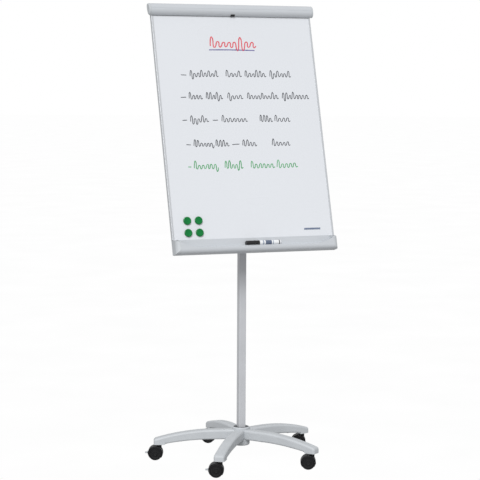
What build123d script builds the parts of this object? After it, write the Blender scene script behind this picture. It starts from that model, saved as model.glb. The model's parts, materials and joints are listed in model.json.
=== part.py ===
from build123d import *
import math
import os

# Mobile flipchart easel: a leaning board on a telescopic column with a five-armed castor base.
# Millimetres, +Z up, floor at z = 0. The board faces -Y and its top leans back towards +Y.
# Parts are drawn with the column axis at x = y = 0, then moved so that the origin is the
# centre of the footprint's box.

# Overall
box_centre_y = 29.0  # centre of the footprint's box behind the column axis
fit_gap = 0.05  # radial clearance of a running fit
seat_gap = 0.02  # clearance between fixed pieces that sit in each other

# Star base
arm_count = 5
arm_width = 44.0
arm_reach = 360.0  # column axis to the blunt end of an arm
arm_peak_radius = 100.0
arm_top_z = 126.0
arm_top_curve = 908.0  # radius of the arched top line
arm_under_peak_radius = 120.0
arm_under_z = 84.0
arm_under_curve = 1115.0  # radius of the arched lower line
arm_wall = 3.5
arm_edge_round = 9.0
boss_start = 314.0
boss_z = 65.0
hub_radius = 36.0
hub_low_z = 60.0
hub_top_z = 136.0
hub_floor_z = 69.0
column_seat_z = 75.0
ring_radius = 31.0
ring_depth = 4.0

# Castors
stem_circle = 338.0
stem_radius = 5.5
stem_top_z = 85.0
sleeve_radius = 7.0
castor_offset = 15.0  # stem axis to wheel axle
castor_heading = 157.0  # direction in which every castor trails, degrees from +X
wheel_radius = 28.0
wheel_inner = 7.6  # inner face of a wheel from the castor's middle plane
wheel_outer = 22.0
axle_radius = 3.0
hood_radius = 31.0
hood_cavity_radius = 28.8
hood_half_width = 22.6
web_half_width = 7.0
hood_top_z = 63.4
hood_lower_z = 25.0
pedal_pivot = (36.5, 32.5)  # along the trail from the stem, height
pedal_pin_radius = 1.5
pedal_half_width = 2.7
braked_castors = (1, 2)

# Column
outer_tube = 30.0
outer_tube_round = 4.0
tube_wall = 1.5
outer_tube_top_z = 960.0
inner_tube = 22.0
inner_tube_round = 3.0
inner_tube_bottom_z = 560.0
clamp_z = 943.0
clamp_height = 34.0
clamp_width = 38.0
clamp_screw_radius = 4.0
knob_radius = 20.0
knob_lobes = 6

# Board, in its own frame: x across, y towards the back, z up the face, face at y = 0
tilt = 16.4  # lean of the face from vertical, degrees
board_foot_y = -155.0
board_foot_z = 873.0
board_width = 700.0
board_thickness = 15.0
sheet_thickness = 0.5
back_sheet_thickness = 0.5
board_low = 50.0
board_high = 985.0
profile_face = 8.0
profile_wall = 1.8
profile_back = 17.0
profile_lip = 1.5
profile_low = 60.3

# Top rail and paper clamp
rail_top = 1014.0
slot_middle = 1004.0
rod_y = 4.0
rod_z = 1026.0
rod_radius = 3.0
bar_half_length = 351.0
cap_end = 361.0
curl_radius = 9.5
bar_wall = 2.5
peg_spacing = 250.0
peg_radius = 4.0
peg_tip = 13.0

# Tilt joint
pivot_depth = 42.0  # behind the face
pivot_height = 406.3  # up the face
head_half_width = 12.0
ear_gap = 0.3
ear_thickness = 4.0
ear_radius = 13.0
tilt_bolt_radius = 5.0
plate_thickness = 3.5

# Pen tray, marker and magnets
tray_front = 36.0
tray_floor = 27.0
tray_end_lip = 46.0
tray_middle_lip = 20.0
tray_floor_front = -22.5  # where the floor starts to slope down to the lip
tray_low_lip_half = 230.0  # half length of the low stretch of the lip
tray_wall = 2.0
tray_end_start = 328.0
tray_half_length = 349.0
tray_top = 60.0
marker_radius = 9.5
marker_left = -46.0
marker_cap_length = 58.0
marker_length = 150.0
magnet_radius = 16.0
magnet_height = 8.0
magnet_columns = (-282.0, -234.0)
magnet_rows = (87.0, 136.0)

# Worked-out places
board_place = Location((0, board_foot_y, board_foot_z), (-tilt, 0, 0))
arm_angles = [-54.0 + 72.0 * number for number in range(arm_count)]
castor_angles = [162.0 + 72.0 * number for number in range(arm_count)]
pivot_z = (
    board_foot_z
    + pivot_height * math.cos(math.radians(tilt))
    - pivot_depth * math.sin(math.radians(tilt))
)


def arch(peak_radius, peak_z, curve, radius):
    """Height of an arched line at a distance from the column axis."""
    return peak_z - curve + math.sqrt(curve**2 - (radius - peak_radius) ** 2)


def arm_top(radius):
    return arch(arm_peak_radius, arm_top_z, arm_top_curve, radius)


def arm_under(radius):
    return arch(arm_under_peak_radius, arm_under_z, arm_under_curve, radius)


def box_between(low, high):
    """Box from its lowest corner to its highest corner."""
    size = [top - bottom for bottom, top in zip(low, high)]
    middle = [(top + bottom) / 2 for bottom, top in zip(low, high)]
    return Pos(*middle) * Box(*size)


def along_x(section, start, end):
    """A section drawn in y and z, pulled along X."""
    return Pos(start, 0, 0) * extrude(Plane.YZ * section, amount=end - start)


def rod_along_x(radius, start, end, y, z):
    return along_x(Pos(y, z) * Circle(radius), start, end)


def rod_along_y(radius, start, end, x, z):
    return Pos(x, (start + end) / 2, z) * Rot(90, 0, 0) * Cylinder(radius, end - start)


def rod_along_z(radius, start, end, x=0.0, y=0.0):
    return Pos(x, y, (start + end) / 2) * Cylinder(radius, end - start)


def square_bar(side, corner, start, end):
    return Pos(0, 0, start) * extrude(RectangleRounded(side, side, corner), amount=end - start)


def square_tube(side, corner, start, end):
    core = square_bar(side - 2 * tube_wall, corner - tube_wall, start, end)
    return square_bar(side, corner, start, end) - core


# Star base


def arm():
    """One arched arm along +X: a channel open below, with ribs and a boss for the castor."""
    middle = (arm_peak_radius + arm_reach) / 2
    outline = Polyline(
        (arm_reach, boss_z), (boss_start, boss_z), (boss_start, arm_under(boss_start))
    )
    lower = ThreePointArc(
        (boss_start, arm_under(boss_start)),
        (middle, arm_under(middle)),
        (arm_under_peak_radius, arm_under_z),
    )
    root = Polyline(
        (arm_under_peak_radius, arm_under_z),
        (0, arm_under_z),
        (0, arm_top_z),
        (arm_peak_radius, arm_top_z),
    )
    upper = ThreePointArc(
        (arm_peak_radius, arm_top_z), (middle, arm_top(middle)), (arm_reach, arm_top(arm_reach))
    )
    end = Line((arm_reach, arm_top(arm_reach)), (arm_reach, boss_z))
    side = make_face([outline.edges(), lower, root.edges(), upper, end])
    tip = [v for v in side.vertices() if v.X > arm_reach - 1 and v.Z + v.Y > boss_z + 1][0]
    side = fillet(tip, 12)
    body = extrude(Plane.XZ * side, amount=arm_width / 2, both=True)

    def rounded(edge):
        middle_point = edge @ 0.5
        on_side = abs(abs(middle_point.Y) - arm_width / 2) < 0.01
        at_end = middle_point.X > arm_reach - 0.01 and middle_point.Z > boss_z + 0.1
        on_top = middle_point.Z > arm_under(boss_start) + 14 and middle_point.X > 1
        return on_side and (at_end or on_top)

    return fillet(body.edges().filter_by(rounded), arm_edge_round)


def arm_hollow():
    """The space under an arm, left open below, with three cross ribs."""
    start = hub_radius + 10
    end = boss_start - 6
    middle = (start + end) / 2
    roof = ThreePointArc(
        (end, arm_top(end) - 4.5), (middle, arm_top(middle) - 4.5), (start, arm_top(start) - 4.5)
    )
    sides = Polyline((start, arm_top(start) - 4.5), (start, 40), (end, 40), (end, arm_top(end) - 4.5))
    space = extrude(
        Plane.XZ * make_face([roof, sides.edges()]), amount=arm_width / 2 - arm_wall, both=True
    )
    for rib in (110, 178, 246):
        space -= box_between((rib - 1.25, -30, 40), (rib + 1.25, 30, 200))
    return space


def star_base():
    star = rod_along_z(hub_radius, hub_low_z, hub_top_z)
    star = fillet(star.edges().group_by(Axis.Z)[0], 7)
    star = fillet(star.edges().group_by(Axis.Z)[-1], 4)
    single = arm()
    for angle in arm_angles:
        star += Rot(0, 0, angle) * single
    hollow = arm_hollow()
    for angle in arm_angles:
        star -= Rot(0, 0, angle) * hollow
        star -= Rot(0, 0, angle) * rod_along_z(sleeve_radius + seat_gap, boss_z - 1, 87, stem_circle)
    star -= square_bar(outer_tube + 0.1, outer_tube_round, column_seat_z, hub_top_z + 1)
    star -= rod_along_z(ring_radius + seat_gap, hub_top_z - ring_depth, hub_top_z + 1)
    star -= rod_along_z(4.3, 60, 80)
    star -= rod_along_z(12, hub_low_z, hub_floor_z)
    return star


def hub_ring():
    ring = rod_along_z(ring_radius, hub_top_z - ring_depth, hub_top_z - 1.2)
    return ring - square_bar(outer_tube + 0.1, outer_tube_round, 120, 150)


def castor_sleeves():
    """The steel socket pressed into each arm's boss, with a flange under the boss."""
    sleeve = rod_along_z(sleeve_radius, boss_z, 86, stem_circle)
    sleeve += rod_along_z(10, boss_z - 1, boss_z, stem_circle)
    sleeve -= rod_along_z(stem_radius + fit_gap, boss_z - 2, 85, stem_circle)
    return Compound([Rot(0, 0, angle) * sleeve for angle in castor_angles])


# Castors, drawn with the stem at the origin and the wheels trailing towards +X


def castor_hood():
    """Middle web, mudguard over both wheels and the housing round the stem."""
    disc = rod_along_y(hood_radius, -hood_half_width, hood_half_width, castor_offset, wheel_radius)
    rims = disc.edges().filter_by(GeomType.CIRCLE)
    hood = fillet(rims, 2)
    hood += rod_along_z(10.5, wheel_radius, hood_top_z)
    nose = box_between((-9.5, -6.5, 32), (4, 6.5, hood_top_z - 4))
    hood += fillet(nose.edges().filter_by(Axis.Z), 5)
    for side in (-1, 1):
        inner, outer = sorted((side * web_half_width, side * (hood_half_width + 1)))
        hood -= rod_along_y(hood_cavity_radius, inner, outer, castor_offset, wheel_radius)
        low = (-40, inner, -10)
        hood -= box_between(low, (80, outer, hood_lower_z))
    hood -= box_between((-40, -30, -10), (80, 30, 9))
    hood -= rod_along_z(stem_radius + seat_gap, 34, 70)
    hood -= rod_along_y(axle_radius + seat_gap, -30, 30, castor_offset, wheel_radius)
    return hood


def pedal_slot():
    """Slot in the back of a braked castor's hood, with the bore for the pedal's pin."""
    along, height = pedal_pivot
    slot = box_between((31.5, -pedal_half_width - 0.3, 19.5), (56.5, pedal_half_width + 0.3, 38.5))
    return slot + rod_along_y(pedal_pin_radius + seat_gap, -6.9, 6.9, along, height)


def brake_pedal():
    """Lever with its own pin, and a flat foot tab behind the hood."""
    along, height = pedal_pivot
    lever = box_between((32.5, -pedal_half_width, 27), (49.5, pedal_half_width, 35.5))
    lever = fillet(lever.edges().filter_by(Axis.Y), 2)
    tab = box_between((47.7, -9, 27.5), (58, 9, 31))
    tab = fillet(tab.edges().filter_by(Axis.Z), 3)
    return lever + tab + rod_along_y(pedal_pin_radius, -6.7, 6.7, along, height)


def castor_pins():
    """The stem pin and the wheel axle, two separate steel pins."""
    stem = rod_along_z(stem_radius, 35, stem_top_z)
    stem = chamfer(stem.edges().group_by(Axis.Z)[-1], 1.2)
    stem -= Pos(0, 0, 78) * Torus(stem_radius + 0.4, 1.1)
    axle = rod_along_y(axle_radius, -19.5, 19.5, castor_offset, wheel_radius)
    for side in (-1, 1):
        inner, outer = sorted((side * 18.6, side * 19.9))
        axle += rod_along_y(4.6, inner, outer, castor_offset, wheel_radius)
    return Compound([stem, axle])


def castor_wheel(side):
    """One of the twin wheels: solid rim, dished outer face with a hub."""
    inner, outer = sorted((side * wheel_inner, side * wheel_outer))
    wheel = rod_along_y(wheel_radius, inner, outer, castor_offset, wheel_radius)
    wheel = fillet(wheel.edges().filter_by(GeomType.CIRCLE), 2)
    face = side * wheel_outer
    low, high = sorted((face - side * 2.2, face + side))
    dish = rod_along_y(21.5, low, high, castor_offset, wheel_radius)
    dish -= rod_along_y(8.5, low, high, castor_offset, wheel_radius)
    wheel -= dish
    low, high = sorted((face - side * 3.6, face + side))
    wheel -= rod_along_y(5.2, low, high, castor_offset, wheel_radius)
    return wheel - rod_along_y(axle_radius + fit_gap, -30, 30, castor_offset, wheel_radius)


def castor_place(angle):
    """Place of a castor's stem, turned so that the wheels trail along the common heading."""
    x = stem_circle * math.cos(math.radians(angle))
    y = stem_circle * math.sin(math.radians(angle))
    return Pos(x, y, 0) * Rot(0, 0, castor_heading)


# Column


def column_tube():
    tube = square_tube(outer_tube, outer_tube_round, column_seat_z, outer_tube_top_z)
    return tube - rod_along_y(clamp_screw_radius + 0.3, 5, 20, 0, clamp_z)


def column_foot_plug():
    plug = square_bar(outer_tube - 2 * tube_wall - 0.06, 2.4, column_seat_z, 112)
    return plug - rod_along_z(4 + seat_gap, 70, 120)


def column_bolt():
    """Bolt from below with its hexagon head and washer face."""
    head = Pos(0, 0, 62) * extrude(RegularPolygon(7.5, 6), amount=5.4)
    return head + rod_along_z(9, 67.4, hub_floor_z) + rod_along_z(4, 67.4, 108)


def guide_bush():
    """Plastic guide in the mouth of the outer tube, round the inner tube."""
    bush = square_bar(outer_tube - 2 * tube_wall - 0.06, 2.4, 930, outer_tube_top_z)
    bush += square_bar(outer_tube, outer_tube_round, outer_tube_top_z, outer_tube_top_z + 4)
    bush -= square_bar(inner_tube + 2 * fit_gap, inner_tube_round, 920, outer_tube_top_z + 5)
    return bush - rod_along_y(clamp_screw_radius + 0.3, 5, 20, 0, clamp_z)


def height_clamp():
    """Collar round the top of the outer tube with a threaded boss at the back."""
    low = clamp_z - clamp_height / 2
    high = clamp_z + clamp_height / 2
    collar = square_bar(clamp_width, 7, low, high)
    collar = fillet(collar.edges().group_by(Axis.Z)[0], 1.5)
    collar += rod_along_y(11, 15, 30, 0, clamp_z)
    collar -= square_bar(outer_tube + 0.06, outer_tube_round, low - 1, high + 1)
    return collar - rod_along_y(clamp_screw_radius + fit_gap, 5, 40, 0, clamp_z)


def rounded_disc(radius, height):
    disc = rod_along_z(radius, 0, height)
    return fillet(disc.edges().group_by(Axis.Z)[-1], 1.5)


def lobed_knob(radius, height):
    """A lobed hand knob standing on z = 0."""
    knob = rounded_disc(radius * 0.8, height)
    for number in range(knob_lobes):
        turn = Rot(0, 0, number * 360 / knob_lobes)
        knob += turn * Pos(radius * 0.73, 0, 0) * rounded_disc(radius * 0.27, height)
    return knob + rod_along_z(radius * 0.45, -3, 0)


def height_knob():
    """Lobed knob and the steel stud moulded into it, two solids in one node."""
    knob = Pos(0, 34, clamp_z) * Rot(-90, 0, 0) * lobed_knob(knob_radius, 17)
    knob -= rod_along_y(clamp_screw_radius + seat_gap, 25, 44, 0, clamp_z)
    stud = rod_along_y(clamp_screw_radius, inner_tube / 2 + 0.3, 43, 0, clamp_z)
    return Compound([knob, stud])


def inner_column():
    return square_tube(inner_tube, inner_tube_round, inner_tube_bottom_z, pivot_z - 28)


def tube_glide():
    """Plastic foot of the inner tube that slides in the outer tube."""
    glide = square_bar(outer_tube - 2 * tube_wall - 0.2, 2.4, 548, inner_tube_bottom_z)
    return glide + square_bar(inner_tube - 2 * tube_wall - 0.06, 1.5, 559, 585)


def tilt_head():
    """Cast tongue plugged into the inner tube, bored across for the tilt bolt."""
    top = pivot_z - 28
    head = square_bar(inner_tube - 2 * tube_wall - 0.06, 1.5, top - 45, top + 1)
    head += box_between((-head_half_width, -12, top), (head_half_width, 12, pivot_z))
    head += rod_along_x(12, -head_half_width, head_half_width, 0, pivot_z)
    return head - rod_along_x(tilt_bolt_radius + fit_gap, -20, 20, 0, pivot_z)


# Board pieces, drawn in the board's own frame


def screw_places():
    return [(x, pivot_height + z) for x in (-62, 62) for z in (-46, 46)]


def drill_for_screws(shape):
    for x, z in screw_places():
        shape -= rod_along_y(2 + seat_gap, 8, 25, x, z)
    return shape


def board_layer(front, back):
    return box_between((-347.9, front, board_low + 0.1), (347.9, back, board_high - 0.1))


def writing_sheet():
    return board_layer(0, sheet_thickness)


def board_core():
    return drill_for_screws(board_layer(sheet_thickness, board_thickness - back_sheet_thickness))


def back_sheet():
    return drill_for_screws(board_layer(board_thickness - back_sheet_thickness, board_thickness))


def edge_profile(side):
    """Aluminium channel round one upright edge of the board."""
    half = board_width / 2
    outline = Rectangle(profile_face, profile_back + profile_lip, align=(Align.MAX, Align.MIN))
    groove = Rectangle(profile_face, board_thickness + 0.2, align=(Align.MAX, Align.MIN))
    section = Pos(half, -profile_lip) * fillet(outline.vertices().group_by(Axis.X)[-1], 2)
    section -= Pos(half - profile_wall, -0.1) * groove
    profile = Pos(0, 0, profile_low) * extrude(section, amount=board_high - profile_low)
    return profile if side > 0 else mirror(profile, about=Plane.YZ)


def top_rail():
    """Fixed rail that caps the board and holds the pegs in a T-shaped slot."""
    rail = box_between((-349, 0, board_high), (349, profile_back, rail_top))
    flange = box_between((-341.5, board_thickness + 0.1, 968), (341.5, profile_back, board_high))
    rail += flange
    rail -= box_between((-360, -1, slot_middle - 3), (360, 8, slot_middle + 3))
    return rail - box_between((-360, 4, slot_middle - 6), (360, 8, slot_middle + 6))


def hinge_brackets():
    """Three blocks on the rail that carry the hinge rod."""
    block = box_between((-12, -3 + rod_y - 4, rail_top), (12, rod_y + 1, rod_z))
    block += rod_along_x(6.2, -12, 12, rod_y, rod_z)
    block -= rod_along_x(rod_radius + seat_gap, -13, 13, rod_y, rod_z)
    return Compound([Pos(x, 0, 0) * block for x in (-322, 0, 322)])


def hinge_rod():
    return rod_along_x(rod_radius, -357.5, 357.5, rod_y, rod_z)


def bar_outline():
    """Front outline of the clamp bar in y and z, from the curl down to the lip."""
    curl = CenterArc((rod_y, rod_z), curl_radius, 0, 90)
    crown = ThreePointArc((rod_y, rod_z + curl_radius), (-13.17, 1027.86), (-19, 1010))
    belly = ThreePointArc((-19, 1010), (-16.5, 995), (-5, 984.5))
    return [curl, crown, belly]


def clamp_bar():
    """Hinged shell that presses the paper against the board."""
    lip = Polyline((-5, 984.5), (-3, 984.5), (-3, 987.5), (-5.2, 987.5))
    belly = ThreePointArc((-5.2, 987.5), (-14.3, 996.3), (-16.51, 1010.26))
    crown = ThreePointArc((-16.51, 1010.26), (-11.31, 1026.19), (rod_y, rod_z + curl_radius - bar_wall))
    curl = CenterArc((rod_y, rod_z), curl_radius - bar_wall, 0, 90)
    end = Line((rod_y + curl_radius - bar_wall, rod_z), (rod_y + curl_radius, rod_z))
    section = make_face([*bar_outline(), *lip.edges(), belly, crown, curl, end])
    section -= Pos(-19.4, 1010) * Circle(0.9)
    return along_x(section, -bar_half_length, bar_half_length)


def clamp_end_cap(side):
    """Rounded plastic cap on one end of the clamp bar, turning on the hinge rod."""
    back = Polyline((-5, 984.5), (-2, 984.5), (8, 992), (13.5, 1012), (13.5, rod_z))
    section = make_face([*bar_outline(), *back.edges()])
    cap = along_x(section, bar_half_length, cap_end)
    cap = fillet(cap.edges().group_by(Axis.X)[-1], 4)
    cap -= rod_along_x(rod_radius + fit_gap, bar_half_length - 1, 358.5, rod_y, rod_z)
    return cap if side > 0 else mirror(cap, about=Plane.YZ)


def clamp_gasket():
    return box_between((-341, -2.98, 984.6), (341, -0.4, 990.5))


def pull_tab():
    """Small plastic tab clipped to the middle of the clamp bar's lower edge."""
    tab = box_between((-9, -22, 980), (9, -4.2, 989))
    tab = fillet(tab.edges().filter_by(Axis.Y).group_by(Axis.Z)[-1], 2)
    section = make_face([*bar_outline(), *Polyline((-5, 984.5), (13.5, 984.5), (13.5, rod_z)).edges()])
    solid_bar = along_x(offset(section, 0.03), -20, 20)
    thin_bar = along_x(offset(section, 2.0), -20, 20)
    return (tab & thin_bar) - solid_bar


def pad_peg(x):
    """Peg for a paper pad, with a foot that slides in the rail's slot."""
    peg = rod_along_y(peg_radius, -peg_tip, -1.8, x, slot_middle)
    peg = chamfer(peg.edges().group_by(Axis.Y)[0], 1)
    peg += rod_along_y(7, -1.8, -0.3, x, slot_middle)
    peg += rod_along_y(2.7, -0.3, 5, x, slot_middle)
    return peg + box_between((x - 9, 4.3, slot_middle - 5.6), (x + 9, 7.6, slot_middle + 5.6))


def tilt_bracket():
    """Back plate with two ears that straddle the tilt head."""
    low = pivot_height - 60
    plate = box_between((-75, board_thickness, low), (75, board_thickness + plate_thickness, low + 120))
    plate = fillet(plate.edges().filter_by(Axis.Y), 10)
    for side in (-1, 1):
        start, end = sorted((side * (head_half_width + ear_gap), side * (head_half_width + ear_gap + ear_thickness)))
        ear = rod_along_x(ear_radius, start, end, pivot_depth, pivot_height)
        base = board_thickness + plate_thickness
        outline = Polyline(
            (base - 0.5, pivot_height - 24),
            (pivot_depth, pivot_height - ear_radius),
            (pivot_depth, pivot_height + ear_radius),
            (base - 0.5, pivot_height + 24),
            close=True,
        )
        ear += along_x(make_face(outline.edges()), start, end)
        plate += ear
    plate -= rod_along_x(tilt_bolt_radius + seat_gap, -30, 30, pivot_depth, pivot_height)
    return drill_for_screws(plate)


def pan_head_screw():
    """Screw with the underside of its head at z = 0, pointing down."""
    head = rod_along_z(4.2, 0, 2.6)
    head = fillet(head.edges().group_by(Axis.Z)[-1], 1.4)
    return head + rod_along_z(2, -9, 0.5)


def board_screws():
    """Six equal screws: four through the bracket's plate and one in each tray end."""
    screw = pan_head_screw()
    base = board_thickness + plate_thickness
    screws = [Pos(x, base, z) * Rot(-90, 0, 0) * screw for x, z in screw_places()]
    tray_screw = tray_screw_place() * screw
    return Compound([*screws, tray_screw, mirror(tray_screw, about=Plane.YZ)])


def tilt_bolt():
    outer = head_half_width + ear_gap + ear_thickness
    head = Pos(-outer - 5, pivot_depth, pivot_height) * Rot(0, 90, 0)
    bolt = head * extrude(RegularPolygon(9, 6), amount=5)
    return bolt + rod_along_x(tilt_bolt_radius, -outer - 1, 34, pivot_depth, pivot_height)


def tilt_knob():
    outer = head_half_width + ear_gap + ear_thickness
    knob = Pos(outer + 3.3, pivot_depth, pivot_height) * Rot(0, 90, 0) * lobed_knob(17, 18)
    return knob - rod_along_x(tilt_bolt_radius + fit_gap, 10, 35, pivot_depth, pivot_height)


# Pen tray


def tray_outer(top):
    """Outer half of the tray's section in y and z; top is the run from the lip to the back."""
    back = Polyline((profile_back, tray_top), (profile_back, 6))
    heel = CenterArc((profile_back - 6, 6), 6, 270, 90)
    base = Line((profile_back - 6, 0), (-20, 0))
    toe = CenterArc((-20, 16), 16, 180, 90)
    run = Polyline(*top)
    return make_face([*back.edges(), heel, base, toe, *run.edges()])


def board_seat():
    """Corners of the notch that takes the board's lower edge."""
    return [
        (-0.2, tray_top),
        (-0.2, board_low),
        (board_thickness + 0.2, board_low),
        (board_thickness + 0.2, tray_top),
        (profile_back, tray_top),
    ]


def pen_tray():
    """Hollow tray: a trough in front of the board with a lip that is low in the middle."""
    lip = [(-tray_front, 16), (-tray_front, tray_end_lip), (2 - tray_front, tray_end_lip)]
    trough = [
        (2 - tray_front, tray_middle_lip),
        (tray_floor_front, tray_floor),
        (-tray_wall - 0.2, tray_floor),
        (-tray_wall - 0.2, tray_top),
    ]
    section = tray_outer([*lip, *trough, *board_seat()])
    hollow = make_face(
        Polyline(
            (15, 8),
            (9, 2),
            (-20, 2),
            (-30, 6),
            (2 - tray_front, 16),
            (2 - tray_front, tray_middle_lip - 2.4),
            (tray_floor_front, tray_floor - 2.4),
            (0, tray_floor - 2.4),
            (0, board_low - 2),
            (15, board_low - 2),
            close=True,
        ).edges()
    )
    tray = along_x(section - hollow, -tray_end_start, tray_end_start)
    rise = tray_end_lip - tray_middle_lip
    run = tray_end_start - tray_low_lip_half
    curve = (run**2 + rise**2) / (2 * rise)
    half_turn = math.atan2(rise, run)
    bend_x = tray_low_lip_half + curve * math.sin(half_turn)
    bend_z = tray_middle_lip + curve * (1 - math.cos(half_turn))
    edges = [Line((-tray_low_lip_half, tray_middle_lip), (tray_low_lip_half, tray_middle_lip))]
    for side in (-1, 1):
        low = (side * tray_low_lip_half, tray_middle_lip)
        edges.append(ThreePointArc(low, (side * bend_x, bend_z), (side * tray_end_start, tray_end_lip)))
    high = tray_end_lip + 5
    left = (-tray_end_start, tray_end_lip)
    right = (tray_end_start, tray_end_lip)
    edges += Polyline(left, (-tray_end_start, high), (tray_end_start, high), right).edges()
    scoop = extrude(Plane.XZ * make_face(edges), amount=tray_front + 2)
    return tray - (scoop & box_between((-400, -tray_front - 2, 20), (400, tray_wall + 0.1 - tray_front, 60)))


def tray_end(side):
    """Closed end of the tray with a sloping top and rounded front corner."""
    slope = [(-tray_front, 16), (-tray_front, tray_end_lip), (-30, 50), (-3, tray_top), *board_seat()]
    end = along_x(tray_outer(slope), tray_end_start, tray_half_length)
    end += box_between((tray_half_length - 1, -0.5, board_low - 1), (tray_half_length, 15.5, tray_top))
    plan = Rectangle(2 * tray_half_length, tray_front + profile_back, align=(Align.CENTER, Align.MIN))
    plan = fillet(plan.vertices().group_by(Axis.Y)[0], 18)
    end &= Pos(0, -tray_front, -5) * extrude(plan, amount=80)
    end -= tray_screw_place() * rod_along_z(2 + seat_gap, -10, 5)
    return end if side > 0 else mirror(end, about=Plane.YZ)


def tray_screw_place():
    """Foot of a screw's head on the sloping top of the right-hand end."""
    slope = math.degrees(math.atan2(10, 27))
    return Pos(337, -16.5, 55) * Rot(slope, 0, 0)


# Loose pieces


def marker_axis():
    return -tray_wall - 0.5 - marker_radius, tray_floor + marker_radius + 0.2


def marker_cap():
    y, z = marker_axis()
    end = marker_left + marker_cap_length
    cap = rod_along_x(marker_radius, marker_left, end, y, z)
    cap = fillet(cap.edges().group_by(Axis.X)[0], 1.5)
    return cap - rod_along_x(6, marker_left + 6, end + 1, y, z)


def marker_barrel():
    y, z = marker_axis()
    start = marker_left + marker_cap_length
    end = marker_left + marker_length
    barrel = rod_along_x(marker_radius - 0.4, start, end, y, z)
    barrel = fillet(barrel.edges().group_by(Axis.X)[-1], 2)
    barrel += rod_along_x(5.9, start - 22, start, y, z)
    return barrel + rod_along_x(2.6, start - 34, start - 22, y, z)


def magnet(x, z):
    disc = rod_along_y(magnet_radius, -magnet_height - 0.05, -0.05, x, z)
    return fillet(disc.edges().group_by(Axis.Y)[0], 2.5)


def all_parts():
    """Every piece by node name, in the column's frame."""
    pieces = {
        "star_base": star_base(),
        "hub_ring": hub_ring(),
        "castor_sleeves": castor_sleeves(),
        "column_tube": column_tube(),
        "column_foot_plug": column_foot_plug(),
        "column_bolt": column_bolt(),
        "guide_bush": guide_bush(),
        "height_clamp": height_clamp(),
        "height_knob": height_knob(),
        "inner_column": inner_column(),
        "tube_glide": tube_glide(),
        "tilt_head": tilt_head(),
    }
    hood = castor_hood()
    pins = castor_pins()
    wheels = {"left": castor_wheel(1), "right": castor_wheel(-1)}
    for number, angle in enumerate(castor_angles, start=1):
        place = castor_place(angle)
        name = f"castor_{number}"
        pieces[f"{name}_pins"] = place * pins
        for side, wheel in wheels.items():
            pieces[f"{name}_{side}_wheel"] = place * wheel
        if number in braked_castors:
            pieces[f"{name}_hood"] = place * (hood - pedal_slot())
            pieces[f"{name}_brake_pedal"] = place * brake_pedal()
        else:
            pieces[f"{name}_hood"] = place * hood
    board = {
        "writing_sheet": writing_sheet(),
        "board_core": board_core(),
        "back_sheet": back_sheet(),
        "left_edge_profile": edge_profile(-1),
        "right_edge_profile": edge_profile(1),
        "top_rail": top_rail(),
        "hinge_brackets": hinge_brackets(),
        "hinge_rod": hinge_rod(),
        "clamp_bar": clamp_bar(),
        "clamp_end_caps": Compound([clamp_end_cap(-1), clamp_end_cap(1)]),
        "clamp_gasket": clamp_gasket(),
        "pull_tab": pull_tab(),
        "left_pad_peg": pad_peg(-peg_spacing / 2),
        "right_pad_peg": pad_peg(peg_spacing / 2),
        "tilt_bracket": tilt_bracket(),
        "board_screws": board_screws(),
        "tilt_bolt": tilt_bolt(),
        "tilt_knob": tilt_knob(),
        "pen_tray": pen_tray(),
        "tray_ends": Compound([tray_end(-1), tray_end(1)]),
        "marker_cap": marker_cap(),
        "marker_barrel": marker_barrel(),
    }
    for row, z in zip(("lower", "upper"), magnet_rows):
        for column, x in zip(("left", "right"), magnet_columns):
            board[f"{row}_{column}_magnet"] = magnet(x, z)
    for name, piece in board.items():
        pieces[name] = board_place * piece
    return pieces


os.makedirs("parts", exist_ok=True)
to_origin = Pos(0, -box_centre_y, 0)
for name, piece in all_parts().items():
    export_step(to_origin * piece, f"parts/{name}.step")
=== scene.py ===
import json
import math
import random

import bmesh
import bpy
from mathutils import Matrix, Vector


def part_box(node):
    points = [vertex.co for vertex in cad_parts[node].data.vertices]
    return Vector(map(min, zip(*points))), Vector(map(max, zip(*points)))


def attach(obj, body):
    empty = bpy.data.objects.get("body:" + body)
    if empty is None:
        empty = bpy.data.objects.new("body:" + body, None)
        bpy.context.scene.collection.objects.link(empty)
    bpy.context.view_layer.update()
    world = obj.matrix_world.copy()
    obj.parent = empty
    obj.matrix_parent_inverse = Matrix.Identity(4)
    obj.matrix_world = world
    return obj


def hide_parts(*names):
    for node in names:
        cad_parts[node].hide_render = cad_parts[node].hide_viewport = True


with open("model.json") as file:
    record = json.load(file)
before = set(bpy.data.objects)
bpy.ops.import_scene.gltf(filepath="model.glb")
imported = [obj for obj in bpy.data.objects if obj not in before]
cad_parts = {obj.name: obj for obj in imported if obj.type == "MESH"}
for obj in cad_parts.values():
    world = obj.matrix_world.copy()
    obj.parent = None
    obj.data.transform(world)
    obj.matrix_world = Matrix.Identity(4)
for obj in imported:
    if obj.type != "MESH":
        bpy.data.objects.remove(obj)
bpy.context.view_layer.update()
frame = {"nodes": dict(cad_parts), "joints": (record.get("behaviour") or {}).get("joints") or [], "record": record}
print("frame loaded,", len(frame["nodes"]), "nodes")

scene = bpy.context.scene
joints = {joint["name"]: joint for joint in frame["joints"]}
slotOf = {part["node"]: part["material_slot"] for part in frame["record"]["subparts"]}


# Places

def middleOf(node):
    low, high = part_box(node)
    return (low + high) / 2


# the hinge rod's place on the board: behind the face and up the face
rodPlace = {"depth": 0.004, "height": 1.026}


def findBoard():
    # x across, y towards the back and z up the writing face, with the face at y = 0
    front = Vector(joints["lower_left_magnet_pull"]["axis"]).normalized()
    back = -front
    up = Vector((0, front.z, -front.y))
    foot = Vector(joints["clamp_hinge"]["pos_m"]) - back * rodPlace["depth"] - up * rodPlace["height"]
    foot.x = middleOf("writing_sheet").x
    rows = [(1, 0, 0, foot.x), (0, back.y, up.y, foot.y), (0, back.z, up.z, foot.z), (0, 0, 0, 1)]
    return Matrix(rows)


board = findBoard()


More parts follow.
